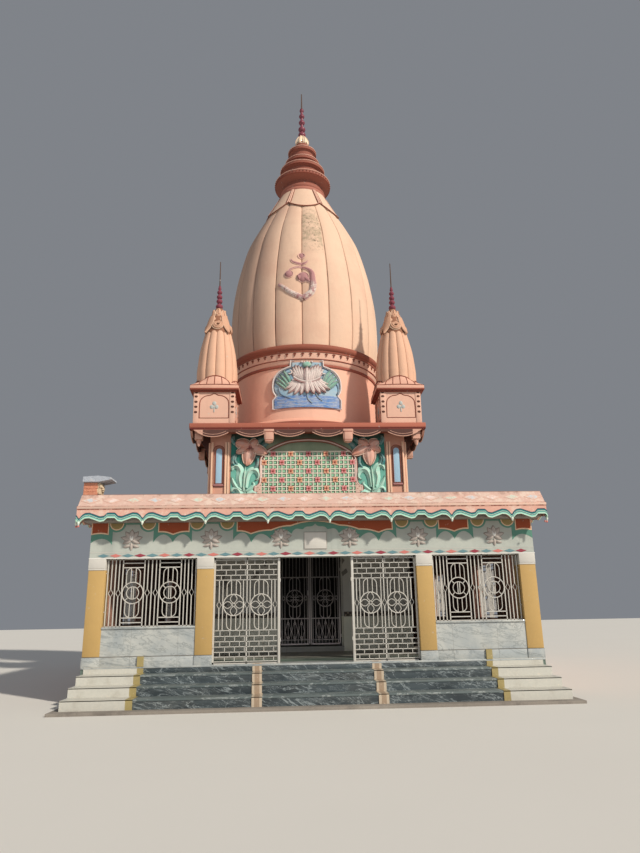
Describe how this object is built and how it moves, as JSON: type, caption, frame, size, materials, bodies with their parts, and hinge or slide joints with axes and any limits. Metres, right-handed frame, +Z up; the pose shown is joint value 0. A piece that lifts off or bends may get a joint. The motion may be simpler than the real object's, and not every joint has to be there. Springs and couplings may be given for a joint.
{
  "type": "hindu temple",
  "caption": "Temple with a flat-roofed front hall, grilles and steps, a square tower base with corner turrets, a ribbed dome on a round drum, and a ringed finial.",
  "frame": {"origin": "middle of the footprint at ground level", "axes": "+X to the right seen from the front, +Y from the front steps to the rear, +Z up"},
  "size_m": [9.4, 12.517, 20.1],
  "materials": {
    "salmon_paint": "matt masonry paint on plaster",
    "cream_paint": "matt masonry paint on plaster",
    "terracotta_paint": "matt masonry paint",
    "whitewash": "matt whitewash",
    "ochre_paint": "matt masonry paint",
    "white_marble": "polished",
    "dark_marble": "polished",
    "concrete": "weathered",
    "white_steel": "gloss enamel",
    "dark_iron": "dark enamel",
    "maroon_enamel": "painted beads",
    "blue_relief": "painted relief"
  },
  "bodies": {
    "root": {"plinth": "white_marble", "step_base": "white_marble", "sanctum_floor": "dark_marble", "step_1": "dark_marble", "step_2": "dark_marble", "step_3": "dark_marble", "front_beam": "whitewash", "roof_slab": "concrete", "roof_corner_pier": "terracotta_paint", "roof_corner_pier_cap": "concrete", "gate_frame": "dark_iron", "tower_front_left": "whitewash", "tower_front_right": "whitewash", "tower_front_wall": "salmon_paint", "tower_rear_wall": "salmon_paint", "tower_left_wall": "salmon_paint", "tower_right_wall": "salmon_paint", "eave_slab": "terracotta_paint", "drum": "salmon_paint", "ring_cornice": "terracotta_paint", "lotus_panel": "blue_relief", "dome": "cream_paint", "dome_collar": "cream_paint", "finial_rings": "terracotta_paint", "finial_beads": "maroon_enamel", "left_outer_pilaster": "ochre_paint", "left_inner_pilaster": "ochre_paint", "left_window_dado": "white_marble", "left_front_window_grille": "white_steel", "left_entrance_grille": "white_steel", "right_outer_pilaster": "ochre_paint", "right_inner_pilaster": "ochre_paint", "right_window_dado": "white_marble", "right_front_window_grille": "white_steel", "right_entrance_grille": "white_steel", "left_wall": "salmon_paint", "left_window_grille_1": "white_steel", "left_window_grille_2": "white_steel", "right_wall": "salmon_paint", "right_window_grille_1": "white_steel", "right_window_grille_2": "white_steel", "rear_wall": "salmon_paint", "rear_window_grille_1": "white_steel", "rear_window_grille_2": "white_steel", "front_eave": "salmon_paint", "rear_eave": "salmon_paint", "left_eave": "salmon_paint", "right_eave": "salmon_paint", "front_left_turret": "salmon_paint", "front_right_turret": "salmon_paint", "rear_left_turret": "salmon_paint", "rear_right_turret": "salmon_paint"},
    "left_gate": {"left_gate_leaf": "dark_iron"},
    "right_gate": {"right_gate_leaf": "dark_iron"}
  },
  "joints": [
    {"name": "left_gate_hinge", "type": "hinge", "parent": "root", "child": "left_gate", "pos_m": [-0.788, -0.8955, 1], "axis": [0, 0, 1], "range_deg": [0, 90]},
    {"name": "right_gate_hinge", "type": "hinge", "parent": "root", "child": "right_gate", "pos_m": [0.788, -0.8955, 1], "axis": [0, 0, -1], "range_deg": [0, 90]}
  ]
}
